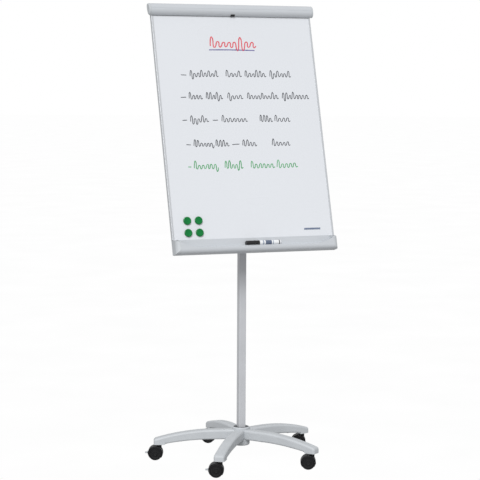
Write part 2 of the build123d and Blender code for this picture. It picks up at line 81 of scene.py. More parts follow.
def boardBox(node):
    # a node's lowest and highest corners in the board's own frame
    points = [board.inverted() @ vertex.co for vertex in frame["nodes"][node].data.vertices]
    low = Vector([min(point[axis] for point in points) for axis in range(3)])
    high = Vector([max(point[axis] for point in points) for axis in range(3)])
    return low, high


def standOn(origin, normal, side=(0, 0, 1)):
    # place with its z along the normal
    z = Vector(normal).normalized()
    x = Vector(side).cross(z).normalized()
    turn = Matrix((x, z.cross(x), z)).transposed().to_4x4()
    return Matrix.Translation(origin) @ turn


# Finishes

def tone(red, green, blue):
    # display values, 0 to 255, as the linear colour that a shader takes
    def linear(value):
        share = value / 255
        return share / 12.92 if share <= 0.04045 else ((share + 0.055) / 1.055) ** 2.4
    return (linear(red), linear(green), linear(blue), 1.0)


def newFinish(name, metallic=0.0, coat=0.0, specular=0.5):
    finish = bpy.data.materials.new(name)
    finish.use_nodes = True
    shader = finish.node_tree.nodes["Principled BSDF"]
    shader.inputs["Metallic"].default_value = metallic
    shader.inputs["Coat Weight"].default_value = coat
    shader.inputs["Specular IOR Level"].default_value = specular
    return finish, finish.node_tree, shader


def speckle(tree, scale, detail=3.0, stretch=(1, 1, 1), turn=0.0):
    # noise on the object's own metres, stretched along an axis for drawn metal
    coords = tree.nodes.new("ShaderNodeTexCoord")
    mapping = tree.nodes.new("ShaderNodeMapping")
    mapping.inputs["Rotation"].default_value = (turn, 0, 0)
    mapping.inputs["Scale"].default_value = stretch
    noise = tree.nodes.new("ShaderNodeTexNoise")
    noise.inputs["Scale"].default_value = scale
    noise.inputs["Detail"].default_value = detail
    tree.links.new(coords.outputs["Object"], mapping.inputs["Vector"])
    tree.links.new(mapping.outputs["Vector"], noise.inputs["Vector"])
    return noise.outputs["Fac"]


def tintBy(tree, shader, pattern, dark, light, low=0.3, high=0.7):
    ramp = tree.nodes.new("ShaderNodeValToRGB")
    ramp.color_ramp.elements[0].position = low
    ramp.color_ramp.elements[0].color = dark
    ramp.color_ramp.elements[1].position = high
    ramp.color_ramp.elements[1].color = light
    tree.links.new(pattern, ramp.inputs["Fac"])
    tree.links.new(ramp.outputs["Color"], shader.inputs["Base Color"])
    return ramp


def roughenBy(tree, shader, pattern, smooth, rough):
    spread = tree.nodes.new("ShaderNodeMapRange")
    spread.inputs["From Min"].default_value = 0.3
    spread.inputs["From Max"].default_value = 0.7
    spread.inputs["To Min"].default_value = smooth
    spread.inputs["To Max"].default_value = rough
    tree.links.new(pattern, spread.inputs["Value"])
    tree.links.new(spread.outputs["Result"], shader.inputs["Roughness"])


def raiseBy(tree, shader, pattern, height, strength=0.4):
    bump = tree.nodes.new("ShaderNodeBump")
    bump.inputs["Strength"].default_value = strength
    bump.inputs["Distance"].default_value = height
    tree.links.new(pattern, bump.inputs["Height"])
    tree.links.new(bump.outputs["Normal"], shader.inputs["Normal"])


def mouldedPlastic(name, dark, light, smooth=0.42, rough=0.58, grain=900.0, specular=0.45):
    # spark-eroded grain, with the slow drift of tone that a large moulding has
    finish, tree, shader = newFinish(name, specular=specular)
    tintBy(tree, shader, speckle(tree, 14, 2), dark, light)
    fine = speckle(tree, grain, 2)
    roughenBy(tree, shader, fine, smooth, rough)
    raiseBy(tree, shader, fine, 0.00012)
    return finish


def glossPlastic(name, dark, light, coat=0.15, specular=0.5):
    # polished mould, so only a faint flow ripple
    finish, tree, shader = newFinish(name, coat=coat, specular=specular)
    tintBy(tree, shader, speckle(tree, 60, 3), dark, light)
    ripple = speckle(tree, 180, 2)
    roughenBy(tree, shader, ripple, 0.18, 0.28)
    raiseBy(tree, shader, ripple, 0.00008, 0.25)
    return finish


def powderCoat(name, dark, light):
    # orange peel about 1.5 mm across over a fine sparkle
    finish, tree, shader = newFinish(name, specular=0.5)
    tintBy(tree, shader, speckle(tree, 9, 3), dark, light)
    peel = speckle(tree, 650, 1)
    roughenBy(tree, shader, peel, 0.36, 0.5)
    raiseBy(tree, shader, peel, 0.00015, 0.35)
    return finish


def drawnMetal(name, dark, light, stretch, turn=0.0, metallic=0.85, smooth=0.28, rough=0.42):
    # long die lines along the extrusion
    finish, tree, shader = newFinish(name, metallic=metallic)
    lines = speckle(tree, 620, 2, stretch, turn)
    tintBy(tree, shader, lines, dark, light)
    roughenBy(tree, shader, lines, smooth, rough)
    raiseBy(tree, shader, lines, 0.00004, 0.3)
    return finish


def lacqueredRail(name, dark, light):
    # silver-grey lacquer: soft flake sparkle over faint die lines along x
    finish, tree, shader = newFinish(name, metallic=0.12, coat=0.1)
    lines = speckle(tree, 700, 1, (0.01, 1, 1))
    tintBy(tree, shader, lines, dark, light)
    flake = speckle(tree, 1400, 1)
    roughenBy(tree, shader, flake, 0.34, 0.5)
    raiseBy(tree, shader, flake, 0.00002, 0.15)
    return finish


def whiteEnamel(name, clean, wiped):
    # dry-wipe enamel: glossy, with the faint haze that wiping leaves
    finish, tree, shader = newFinish(name, coat=0.25, specular=0.5)
    haze = speckle(tree, 3, 1, (0.6, 1, 1))
    tintBy(tree, shader, haze, wiped, clean, 0.2, 0.8)
    roughenBy(tree, shader, speckle(tree, 7, 1, (0.5, 1, 1)), 0.26, 0.32)
    raiseBy(tree, shader, speckle(tree, 30, 0), 0.00001, 0.05)
    return finish


def zincSheet(name, dark, light):
    # spangle of galvanised sheet
    finish, tree, shader = newFinish(name, metallic=0.4)
    coords = tree.nodes.new("ShaderNodeTexCoord")
    spangle = tree.nodes.new("ShaderNodeTexVoronoi")
    spangle.inputs["Scale"].default_value = 150
    tree.links.new(coords.outputs["Object"], spangle.inputs["Vector"])
    crystal = tree.nodes.new("ShaderNodeSeparateColor")
    tree.links.new(spangle.outputs["Color"], crystal.inputs["Color"])
    tintBy(tree, shader, crystal.outputs["Red"], dark, light, 0.0, 1.0)
    roughenBy(tree, shader, crystal.outputs["Green"], 0.34, 0.52)
    raiseBy(tree, shader, speckle(tree, 30, 2), 0.0001, 0.15)
    return finish


def platedSteel(name, dark, light):
    finish, tree, shader = newFinish(name, metallic=1.0)
    cloud = speckle(tree, 320, 4)
    tintBy(tree, shader, cloud, dark, light)
    roughenBy(tree, shader, cloud, 0.24, 0.4)
    raiseBy(tree, shader, speckle(tree, 1800, 1), 0.00003, 0.3)
    return finish


def castMetal(name, dark, light):
    finish, tree, shader = newFinish(name, metallic=0.2)
    skin = speckle(tree, 480, 5)
    tintBy(tree, shader, speckle(tree, 40, 3), dark, light)
    roughenBy(tree, shader, skin, 0.45, 0.62)
    raiseBy(tree, shader, skin, 0.0003, 0.5)
    return finish


def fibreCore(name, dark, light):
    finish, tree, shader = newFinish(name, specular=0.2)
    fibres = speckle(tree, 700, 5, (0.25, 1, 0.25))
    tintBy(tree, shader, fibres, dark, light)
    roughenBy(tree, shader, fibres, 0.8, 0.95)
    raiseBy(tree, shader, fibres, 0.0003, 0.6)
    return finish


def rubberSkin(name, dark, light):
    finish, tree, shader = newFinish(name, specular=0.3)
    bloom = speckle(tree, 45, 4)
    tintBy(tree, shader, bloom, dark, light)
    roughenBy(tree, shader, bloom, 0.62, 0.82)
    raiseBy(tree, shader, speckle(tree, 1300, 2), 0.0001, 0.4)
    return finish


def feltInk(name, thin, full):
    # marker ink, paler where the tip ran quickly
    finish, tree, shader = newFinish(name, specular=0.3)
    tintBy(tree, shader, speckle(tree, 70, 3), full, thin, 0.35, 0.75)
    roughenBy(tree, shader, speckle(tree, 500, 2), 0.5, 0.7)
    return finish


def makeFinishes():
    return {
        "grey_plastic": mouldedPlastic("mouldedGrey", tone(189, 193, 197), tone(196, 200, 204)),
        # the collar round the column in the hub's recess takes this dark grey, and its darkness is painted shade
        # for the gap there, in addition to the real recess
        "dark_plastic": mouldedPlastic("darkMoulding", tone(60, 62, 66), tone(70, 72, 76)),
        "steel": platedSteel("zincPlatedSteel", tone(176, 178, 182), tone(204, 206, 210)),
        "grey_coat": powderCoat("columnCoat", tone(190, 192, 196), tone(198, 200, 204)),
        "bare_tube": drawnMetal("slidingTube", tone(192, 194, 198), tone(204, 206, 210), (1, 1, 0.02)),
        "cast_grey": castMetal("castHead", tone(172, 175, 180), tone(186, 189, 194)),
        "white_sheet": whiteEnamel("dryWipeEnamel", tone(223, 226, 231), tone(221, 224, 229)),
        "core": fibreCore("boardCore", tone(150, 122, 88), tone(190, 162, 122)),
        "zinc_sheet": zincSheet("boardBackZinc", tone(196, 199, 203), tone(208, 211, 215)),
        "aluminium": drawnMetal(
            "anodisedEdge", tone(200, 203, 207), tone(207, 210, 214), (1, 1, 0.02), -board.to_euler().x, 0.35
        ),
        "grey_rail": lacqueredRail("railLacquer", tone(197, 201, 206), tone(202, 206, 211)),
        "rubber": rubberSkin("gasketRubber", tone(34, 34, 36), tone(46, 46, 48)),
        "black_plastic": mouldedPlastic("blackMoulding", tone(24, 24, 26), tone(34, 34, 36), 0.32, 0.46),
        "white_plastic": glossPlastic("whiteBarrel", tone(226, 228, 232), tone(236, 238, 240)),
        "green_plastic": glossPlastic("greenCap", tone(0, 112, 50), tone(6, 124, 58), 0.04, 0.3),
        "castor_black": mouldedPlastic(
            "castorShell", tone(18, 18, 20), tone(28, 28, 31), 0.34, 0.46, specular=0.35
        ),
        "tyre_black": rubberSkin("castorTread", tone(20, 20, 23), tone(32, 32, 35)),
    }


finishes = makeFinishes()
for nodeName, node in frame["nodes"].items():
    node.data.materials.clear()
    node.data.materials.append(finishes[slotOf[nodeName]])
print("finishes on", len(frame["nodes"]), "nodes")


# Modelling helpers

def editAlone(piece):
    bpy.ops.object.select_all(action="DESELECT")
    bpy.context.view_layer.objects.active = piece
    piece.select_set(True)
    bpy.ops.object.mode_set(mode="EDIT")
    bpy.ops.mesh.select_mode(type="VERT")
    bpy.ops.mesh.select_all(action="DESELECT")


def pick(kind, wanted):
    # selects the vertices, edges or faces that the test accepts by their place, and nothing else
    bpy.ops.mesh.select_mode(type=kind)
    bpy.ops.mesh.select_all(action="DESELECT")
    editMesh = bmesh.from_edit_mesh(bpy.context.edit_object.data)
    if kind == "VERT":
        for vertex in editMesh.verts:
            if wanted(vertex.co):
                vertex.select_set(True)
    elif kind == "EDGE":
        for edge in editMesh.edges:
            if wanted((edge.verts[0].co + edge.verts[1].co) / 2, edge.verts[1].co - edge.verts[0].co):
                edge.select_set(True)
    else:
        for face in editMesh.faces:
            if wanted(face.calc_center_median(), face.normal):
                face.select_set(True)
    editMesh.select_flush_mode()
    bmesh.update_edit_mesh(bpy.context.edit_object.data)


def closeEdit():
    bpy.ops.mesh.select_mode(type="FACE")
    bpy.ops.mesh.select_all(action="SELECT")
    bpy.ops.mesh.normals_make_consistent(inside=False)
    bpy.ops.object.mode_set(mode="OBJECT")


def applyModifier(piece, kind, **settings):
    bpy.context.view_layer.objects.active = piece
    modifier = piece.modifiers.new(kind.lower(), kind)
    for key, value in settings.items():
        setattr(modifier, key, value)
    bpy.ops.object.modifier_apply(modifier=modifier.name)


def smoothUnder(piece, angle=40):
    bpy.ops.object.select_all(action="DESELECT")
    piece.select_set(True)
    bpy.context.view_layer.objects.active = piece
    bpy.ops.object.shade_smooth_by_angle(angle=math.radians(angle))


def turnedPiece(sides, outline, bored=False):
    # turned about z: a disc is extruded and resized through the outline's radii and heights
    radius, height = outline[0]
    bpy.ops.mesh.primitive_circle_add(vertices=sides, radius=radius, fill_type="NGON")
    piece = bpy.context.object
    editAlone(piece)
    bpy.ops.mesh.select_all(action="SELECT")
    bpy.ops.transform.translate(value=(0, 0, height))
    for nextRadius, nextHeight in outline[1:]:
        step = (0, 0, nextHeight - height)
        bpy.ops.mesh.extrude_region_move(TRANSFORM_OT_translate={"value": step})
        grow = nextRadius / radius
        bpy.ops.transform.resize(value=(grow, grow, 1), center_override=(0, 0, nextHeight))
        radius, height = nextRadius, nextHeight
    if bored:
        pick("FACE", lambda middle, normal: middle.xy.length < 1e-5 and abs(normal.z) > 0.9)
        bpy.ops.mesh.delete(type="ONLY_FACE")
        pick("EDGE", lambda middle, along: False)
        bpy.ops.mesh.select_non_manifold()
        bpy.ops.mesh.bridge_edge_loops()
    closeEdit()
    return piece


def copyOf(piece):
    twin = piece.copy()
    twin.data = piece.data.copy()
    scene.collection.objects.link(twin)
    return twin


def settle(piece, name, body, place, finish, stands=()):
    # puts the place into the mesh, gives the finish and hands the piece to its body
    piece.data.transform(place)
    piece.name = name
    piece.data.name = name
    piece.data.materials.clear()
    piece.data.materials.append(finish)
    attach(piece, body)
    if stands:
        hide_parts(*stands)
    return piece


# Magnets

magnetSizes = {"radius": 0.016, "height": 0.008, "gap": 0.00005, "potRadius": 0.0148, "potHeight": 0.0016}


def modelMagnetCap():
    radius, top = magnetSizes["radius"], magnetSizes["height"] + magnetSizes["gap"]
    foot = magnetSizes["gap"] + 0.0006
    outline = [
        (radius - 0.0006, foot), (radius, foot + 0.0005),
        (radius, top - 0.0026), (radius - 0.0003, top - 0.0015),
        (radius - 0.0010, top - 0.0006), (radius - 0.0021, top - 0.0001), (radius - 0.0034, top),
        (radius - 0.0044, top - 0.0002), (radius - 0.0060, top - 0.0006), (radius - 0.0100, top - 0.0009),
        (0.0015, top - 0.0010),
    ]
    return turnedPiece(64, outline)


def modelMagnetPot():
    low, high = magnetSizes["gap"], magnetSizes["gap"] + magnetSizes["potHeight"]
    radius = magnetSizes["potRadius"]
    outline = [(radius - 0.0004, low), (radius, low + 0.0003), (radius, high), (radius - 0.002, high)]
    return turnedPiece(48, outline)


def placeMagnets():
    cap, pot = modelMagnetCap(), modelMagnetPot()
    smoothUnder(cap, 50)
    smoothUnder(pot)
    # the spare masters are removed after the copies are made
    for row in ("lower", "upper"):
        for column in ("left", "right"):
            node = f"{row}_{column}_magnet"
            low, high = boardBox(node)
            spot = board @ Matrix.Translation(((low.x + high.x) / 2, 0, (low.z + high.z) / 2))
            place = spot @ Matrix.Rotation(math.pi / 2, 4, "X")
            name = f"{row}{column.title()}Magnet"
            finish = finishes["green_plastic"]
            settle(copyOf(cap), name + "Cap", node, place, finish, [node])
            settle(copyOf(pot), name + "Pot", node, place, finishes["steel"])
    bpy.data.objects.remove(cap)
    bpy.data.objects.remove(pot)


placeMagnets()
print("magnets done")


# Marker

markerSizes = {
    "capRadius": 0.0095, "barrelRadius": 0.0091, "capLength": 0.058, "length": 0.150,
    "ribs": 5, "ribPitch": 0.0016, "ringStart": 0.141, "ringEnd": 0.1445,
}


def modelMarkerCap():
    radius, length = markerSizes["capRadius"], markerSizes["capLength"]
    outline = [
        (0.0020, 0.0014), (0.0024, 0.0002), (0.0030, 0), (0.0078, 0), (0.0088, 0.0004), (0.0093, 0.0012),
        (radius, 0.0026),
    ]
    start = length - 0.004 - markerSizes["ribs"] * markerSizes["ribPitch"]
    for number in range(markerSizes["ribs"]):
        foot = start + number * markerSizes["ribPitch"]
        outline += [(radius, foot), (radius - 0.0003, foot + 0.0003), (radius - 0.0003, foot + 0.0008)]
        outline += [(radius, foot + 0.0011)]
    outline += [(radius, length - 0.0004), (radius - 0.0004, length)]
    outline += [(0.0087, length), (0.0087, length - 0.001)]
    return turnedPiece(48, outline)


def modelMarkerBarrel():
    radius = markerSizes["barrelRadius"]
    start, end = markerSizes["capLength"] - 0.0008, markerSizes["ringStart"]
    outline = [(0.0060, start - 0.012), (0.0060, start), (0.0083, start), (radius, start + 0.0006)]
    outline += [(radius, end - 0.0004), (radius - 0.0004, end), (0.0060, end)]
    return turnedPiece(48, outline)


def modelMarkerPlug():
    radius = markerSizes["barrelRadius"]
    start, end = markerSizes["ringEnd"], markerSizes["length"]
    outline = [(0.0060, start), (radius - 0.0004, start), (radius, start + 0.0004), (radius, end - 0.0022)]
    outline += [(radius - 0.0004, end - 0.0009), (radius - 0.0012, end - 0.0002), (radius - 0.0022, end)]
    outline += [(0.0042, end), (0.0038, end - 0.0010)]
    return turnedPiece(48, outline)


def modelMarkerRing():
    radius = markerSizes["barrelRadius"] + 0.0001
    start, end = markerSizes["ringStart"], markerSizes["ringEnd"]
    outline = [(0.0062, start), (radius - 0.0003, start), (radius, start + 0.0003)]
    outline += [(radius, end - 0.0003), (radius - 0.0003, end), (0.0062, end)]
    return turnedPiece(48, outline)


def stripedBarrel(start, length):
    # plain bands round a white barrel, by the distance along it
    finish, tree, shader = newFinish("stripedBarrel", coat=0.2)
    coords = tree.nodes.new("ShaderNodeTexCoord")
    along = tree.nodes.new("ShaderNodeSeparateXYZ")
    share = tree.nodes.new("ShaderNodeMapRange")
    share.inputs["From Min"].default_value = start
    share.inputs["From Max"].default_value = start + length
    tree.links.new(coords.outputs["Object"], along.inputs["Vector"])
    tree.links.new(along.outputs["X"], share.inputs["Value"])
    white, band, slate = tone(232, 234, 236), tone(150, 160, 176), tone(92, 104, 126)
    ramp = tintBy(tree, shader, share.outputs["Result"], white, white, 0.0, 1.0)
    ramp.color_ramp.interpolation = "CONSTANT"
    stops = ((0.16, band), (0.22, white), (0.30, slate), (0.62, white), (0.68, band), (0.72, white))
    for position, colour in stops:
        ramp.color_ramp.elements.new(position).color = colour
    roughenBy(tree, shader, speckle(tree, 180, 2), 0.2, 0.3)
    return finish


def placeMarker():
    low = boardBox("marker_cap")[0]
    high = boardBox("marker_cap")[1]
    axis = Matrix.Translation((low.x, (low.y + high.y) / 2, (low.z + high.z) / 2))
    place = board @ axis @ Matrix.Rotation(math.pi / 2, 4, "Y")
    barrelStart = (place @ Vector((0, 0, markerSizes["capLength"]))).x
    barrelLength = markerSizes["ringStart"] - markerSizes["capLength"]
    parts = [
        ("markerCap", modelMarkerCap(), finishes["black_plastic"], "black_plastic", ["marker_cap"]),
        ("markerBarrel", modelMarkerBarrel(), stripedBarrel(barrelStart, barrelLength), "white_plastic",
         ["marker_barrel"]),
        ("markerEndRing", modelMarkerRing(), finishes["black_plastic"], "black_plastic", []),
        ("markerEndPlug", modelMarkerPlug(), finishes["white_plastic"], "white_plastic", []),
    ]
    for name, piece, finish, slotName, stands in parts:
        smoothUnder(piece)
        settle(piece, name, "marker", place, finish, stands)


placeMarker()
print("marker done")


# Knobs

# valleys: how far the rim is drawn in at each step between two lobes
knobSizes = {
    "lobes": 6, "steps": 8,
    "valleys": {1: 0.985, 2: 0.93, 3: 0.865, 4: 0.84, 5: 0.865, 6: 0.93, 7: 0.985},
}


def modelKnob(radius, height, neck):
    outline = [
        (radius * 0.45, -neck), (radius * 0.45, 0), (radius * 0.80, 0),
        (radius * 0.96, 0.0006), (radius, 0.0020), (radius, height * 0.5),
        (radius, height - 0.0030), (radius * 0.97, height - 0.0012), (radius * 0.88, height),
        (radius * 0.60, height), (radius * 0.56, height - 0.0004), (radius * 0.53, height - 0.0014),
        (radius * 0.34, height - 0.0014), (radius * 0.31, height - 0.0006),
        (radius * 0.27, height - 0.0003),
    ]
    piece = turnedPiece(knobSizes["lobes"] * knobSizes["steps"], outline)
    editAlone(piece)
    step = 2 * math.pi / (knobSizes["lobes"] * knobSizes["steps"])

    def stepOf(place):
        return round(math.atan2(place.y, place.x) / step) % knobSizes["steps"]

    for number, grow in knobSizes["valleys"].items():
        pick("VERT", lambda place: place.xy.length > radius * 0.7 and stepOf(place) == number)
        bpy.ops.transform.resize(value=(grow, grow, 1), center_override=(0, 0, 0))
    closeEdit()
    applyModifier(piece, "SUBSURF", levels=1, render_levels=1)
    smoothUnder(piece, 60)
    return piece


studSizes = {"radius": 0.004, "pitch": 0.00125, "turns": 16, "depth": 0.0005}


def modelStud(length):
    # plain shank with a rolled thread, as rings
    radius = studSizes["radius"]
    outline = [(radius - 0.0010, 0), (radius - 0.0002, 0.0008)]
    for number in range(studSizes["turns"]):
        foot = 0.001 + number * studSizes["pitch"]
        outline += [(radius - studSizes["depth"], foot), (radius, foot + studSizes["pitch"] / 2)]
    outline += [(radius, length)]
    piece = turnedPiece(24, outline)
    smoothUnder(piece)
    return piece


def placeKnobs():
    low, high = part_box("height_knob")
    turn = joints["height_knob_turn"]
    height = 0.017
    base = Vector((turn["pos_m"][0], high.y - height, turn["pos_m"][2]))
    knob = modelKnob((high.x - low.x) / 2, height, 0.003)
    settle(knob, "heightKnobGrip", "height_knob", standOn(base, (0, 1, 0)), finishes["black_plastic"],
           ["height_knob"])
    foot = Vector((base.x, low.y, base.z))
    stud = modelStud(high.y - low.y - 0.008)
    settle(stud, "heightKnobStud", "height_knob", standOn(foot, (0, 1, 0)), finishes["steel"])
    low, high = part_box("tilt_knob")
    turn = joints["tilt_knob_turn"]
    height = 0.018
    base = Vector((high.x - height, turn["pos_m"][1], turn["pos_m"][2]))
    knob = modelKnob((high.z - low.z) / 2, height, 0.003)
    settle(knob, "tiltKnobGrip", "tilt_knob", standOn(base, (1, 0, 0)), finishes["black_plastic"],
           ["tilt_knob"])


placeKnobs()
print("knobs done")


# Screws

screwSizes = {
    "headRadius": 0.0042, "headHeight": 0.0026, "shankRadius": 0.002, "shankLength": 0.009,
    "crossLength": 0.0044, "crossWidth": 0.0009, "crossDepth": 0.0013,
    "plateFace": 0.0185, "plateColumn": 0.062, "plateRow": 0.046, "plateMiddle": 0.4063,
    "trayColumn": 0.337, "trayDepth": -0.0165, "trayHeight": 0.055, "traySlope": math.atan2(10, 27),
}


def modelScrew():
    radius, height = screwSizes["headRadius"], screwSizes["headHeight"]
    shank, length = screwSizes["shankRadius"], screwSizes["shankLength"]
    outline = [
        (shank * 0.3, -length), (shank, -length + 0.003), (shank, 0), (radius, 0), (radius, height * 0.45),
        (radius * 0.94, height * 0.68), (radius * 0.80, height * 0.87), (radius * 0.60, height * 0.97),
        (radius * 0.35, height),
    ]
    screw = turnedPiece(32, outline)
    for turn in (0, math.pi / 2):
        bpy.ops.mesh.primitive_cube_add(size=1, location=(0, 0, height), rotation=(0, 0, turn))
        cutter = bpy.context.object
        cutter.scale = (screwSizes["crossLength"], screwSizes["crossWidth"], screwSizes["crossDepth"] * 2)
        bpy.ops.object.transform_apply(location=True, rotation=True, scale=True)
        applyModifier(screw, "BOOLEAN", operation="DIFFERENCE", object=cutter, solver="EXACT")
        bpy.data.objects.remove(cutter)
    smoothUnder(screw)
    return screw


def placeScrews():
    screw = modelScrew()
    places = {}
    for column, across in (("Left", -1), ("Right", 1)):
        for row, up in (("Lower", -1), ("Upper", 1)):
            spot = (across * screwSizes["plateColumn"], screwSizes["plateFace"],
                    screwSizes["plateMiddle"] + up * screwSizes["plateRow"])
            turn = Matrix.Rotation(-math.pi / 2, 4, "X")
            places[f"bracketScrew{row}{column}"] = Matrix.Translation(spot) @ turn
        spot = (across * screwSizes["trayColumn"], screwSizes["trayDepth"], screwSizes["trayHeight"])
        turn = Matrix.Rotation(screwSizes["traySlope"], 4, "X")
        places[f"trayScrew{column}"] = Matrix.Translation(spot) @ turn
    for name, place in places.items():
        settle(copyOf(screw), name, "board", board @ place, finishes["steel"], ["board_screws"])
    bpy.data.objects.remove(screw)


placeScrews()
print("screws done")


# Castor wheels

wheelSizes = {
    "radius": 0.0280, "inner": 0.0076, "outer": 0.0220, "core": 0.0246, "dish": 0.0210, "hub": 0.0085,
    "bore": 0.00305, "headRadius": 0.0048, "headLow": 0.0184, "headHigh": 0.0201,
}


def modelWheelCore():
    inner, outer, core = wheelSizes["inner"], wheelSizes["outer"], wheelSizes["core"]
    dish, hub, bore = wheelSizes["dish"], wheelSizes["hub"], wheelSizes["bore"]
    head, headLow, headHigh = wheelSizes["headRadius"], wheelSizes["headLow"], wheelSizes["headHigh"]
    # a blind bore from the inner side, wide at its end for the axle's head, then round the outside
    outline = [
        (head, headHigh), (head, headLow), (bore, headLow), (bore, inner), (hub, inner),
        (hub, inner + 0.0015), (dish, inner + 0.0015), (dish, inner),
        (core - 0.0004, inner), (core, inner + 0.0004), (core, outer - 0.0006), (core - 0.0006, outer),
        (core - 0.0014, outer), (core - 0.0019, outer - 0.0007), (core - 0.0024, outer),
        (dish + 0.0005, outer - 0.0001), (dish, outer - 0.0006), (dish - 0.0006, outer - 0.0022),
        (dish * 0.72, outer - 0.0027), (dish * 0.70, outer - 0.0019), (dish * 0.66, outer - 0.0019),
        (dish * 0.64, outer - 0.0029), (hub + 0.0008, outer - 0.0024), (hub, outer - 0.0006),
        (hub - 0.0006, outer), (hub - 0.0020, outer), (hub - 0.0028, outer - 0.0006),
        (0.0012, outer - 0.0007),
    ]
    piece = turnedPiece(56, outline)
    smoothUnder(piece, 30)
    return piece


def modelTyre():
    inner, outer, core, radius = (wheelSizes[key] for key in ("inner", "outer", "core", "radius"))
    core += 0.00002
    outline = [
        (core, inner + 0.0005), (radius - 0.0022, inner + 0.0003), (radius - 0.0009, inner + 0.0011),
        (radius - 0.0002, inner + 0.0024), (radius, inner + 0.0040), (radius, outer - 0.0040),
        (radius - 0.0002, outer - 0.0024), (radius - 0.0009, outer - 0.0011),
        (radius - 0.0022, outer - 0.0003),
        (core, outer - 0.0005),
    ]
    piece = turnedPiece(64, outline, bored=True)
    smoothUnder(piece, 50)
    return piece


def placeWheels():
    core, tyre = modelWheelCore(), modelTyre()
    halfWay = (wheelSizes["inner"] + wheelSizes["outer"]) / 2
    for number in range(1, 6):
        pivot = Vector(joints[f"castor_{number}_swivel"]["pos_m"])
        for side in ("left", "right"):
            node = f"castor_{number}_{side}_wheel"
            middle = middleOf(node)
            axle = Vector(joints[f"{node}_spin"]["axis"]).normalized()
            outward = axle if (middle - pivot).dot(axle) > 0 else -axle
            place = standOn(middle - outward * halfWay, outward)
            name = f"castor{number}{side.title()}"
            finish = finishes["castor_black"]
            settle(copyOf(core), name + "Core", node, place, finish, [node])
            settle(copyOf(tyre), name + "Tread", node, place, finishes["tyre_black"])
    bpy.data.objects.remove(core)
    bpy.data.objects.remove(tyre)


placeWheels()
print("wheels done")


# Marks on the board: letterless scrawl, all in the board's own millimetres

# pitch: the width of one wave, and reach: the height of a tall one, as shares of the half height
inkSizes = {"thickness": 0.12, "lift": 0.05, "dash": 32, "pitch": 1.9, "reach": 3.0}

# height up the face, half height of the scrawl, stroke, ink, and where each run starts and ends across
scrawlRows = {
    "titleScrawl": (866, 13, 5.0, "red", [(-108, 92)]),
    "firstRow": (736, 8, 3.2, "black", [
        (-247, -224), (-208, -86), (-52, 16), (31, 124), (141, 234),
    ]),
    "secondRow": (643, 8, 3.2, "black", [
        (-257, -234), (-221, -164), (-148, -77), (-55, 12), (31, 169), (186, 305),
    ]),
    "thirdRow": (547, 8, 3.2, "black", [
        (-259, -240), (-225, -147), (-130, -107), (-90, 22), (77, 132), (142, 210),
    ]),
    "fourthRow": (446, 8, 3.2, "black", [
        (-253, -234), (-221, -135), (-126, -69), (-56, -25), (-10, 51), (119, 199),
    ]),
    "fifthRow": (355, 9, 3.8, "green", [
        (-254, -241), (-229, -126), (-97, -19), (17, 120), (130, 222),
    ]),
}


def scrawlRun(start, end, half, draw):
    # a short run is a dash; a long one is uneven round waves with a few tall ones, and never a letter
    if end - start < inkSizes["dash"]:
        return [(across, draw.uniform(-1, 1)) for across in (start, (start + end) / 2, end)]
    points = [(start, -half * 0.6)]
    waves = max(2, round((end - start) / (half * inkSizes["pitch"])))
    stride = (end - start) / waves
    for number in range(waves):
        across = start + number * stride
        tall = number == 0 or draw.random() < 0.2
        top = half * (inkSizes["reach"] * draw.uniform(0.8, 1.0) if tall else draw.uniform(0.7, 1.2))
        foot = -half * (draw.uniform(1.9, 2.5) if draw.random() < 0.1 else draw.uniform(0.8, 1.1))
        lean = stride * draw.uniform(-0.05, 0.12)
        points += [(across + stride * 0.05 + lean, top * 0.6), (across + stride * 0.3 + lean, top)]
        points += [(across + stride * 0.55 + lean, top * 0.6), (across + stride * 0.5, foot * 0.5)]
        points += [(across + stride * 0.65, foot), (across + stride * 0.95, foot * 0.7)]
    points.append((end, -half * 0.4))
    return points


def inkPiece(name, runs, width, finish):
    # pen lines as flattened tubes with rounded ends, made a mesh before they are placed
    curve = bpy.data.curves.new(name, "CURVE")
    curve.dimensions = "3D"
    curve.bevel_depth = width / 2
    curve.bevel_resolution = 2
    curve.use_fill_caps = True
    for points in runs:
        spline = curve.splines.new("NURBS")
        spline.points.add(len(points) - 1)
        for spot, (across, up) in zip(spline.points, points):
            spot.co = (across, 0, up, 1)
        spline.order_u = 3
        spline.use_endpoint_u = True
        spline.resolution_u = 5
    holder = bpy.data.objects.new(name, curve)
    scene.collection.objects.link(holder)
    bpy.ops.object.select_all(action="DESELECT")
    bpy.context.view_layer.objects.active = holder
    holder.select_set(True)
    bpy.ops.object.convert(target="MESH")
    piece = bpy.context.object
    editAlone(piece)
    bpy.ops.mesh.select_all(action="SELECT")
    bpy.ops.mesh.remove_doubles(threshold=0.01)
    closeEdit()
    flat = Matrix.Diagonal((0.001, 0.001 * inkSizes["thickness"] / width, 0.001, 1))
    piece.data.transform(flat)
    smoothUnder(piece, 60)
    settle(piece, name, "board", board @ Matrix.Translation((0, -0.001 * inkSizes["lift"], 0)), finish)


def writeRows():
    inks = {
        "red": feltInk("redInk", tone(226, 116, 124), tone(212, 80, 92)),
        "black": feltInk("blackInk", tone(92, 94, 100), tone(60, 62, 68)),
        "green": feltInk("greenInk", tone(122, 190, 142), tone(66, 150, 92)),
        "violet": feltInk("violetInk", tone(132, 126, 170), tone(96, 90, 146)),
    }
    draw = random.Random(11)
    for name, (height, half, stroke, ink, runs) in scrawlRows.items():
        lines = []
        for start, end in runs:
            line = scrawlRun(start, end, half, draw)
            lines.append([(across, height + up) for across, up in line])
        inkPiece(name, lines, stroke, inks[ink])
    inkPiece("titleUnderline", [[(-115, 842), (-20, 844), (85, 841)]], 4.5, inks["violet"])


writeRows()
print("marks done")


# Plain bar at the lower right of the sheet

barSizes = {
    "left": 0.220, "right": 0.292, "height": 0.0896, "depth": 0.008, "round": 0.0012, "thickness": 0.00012,
}


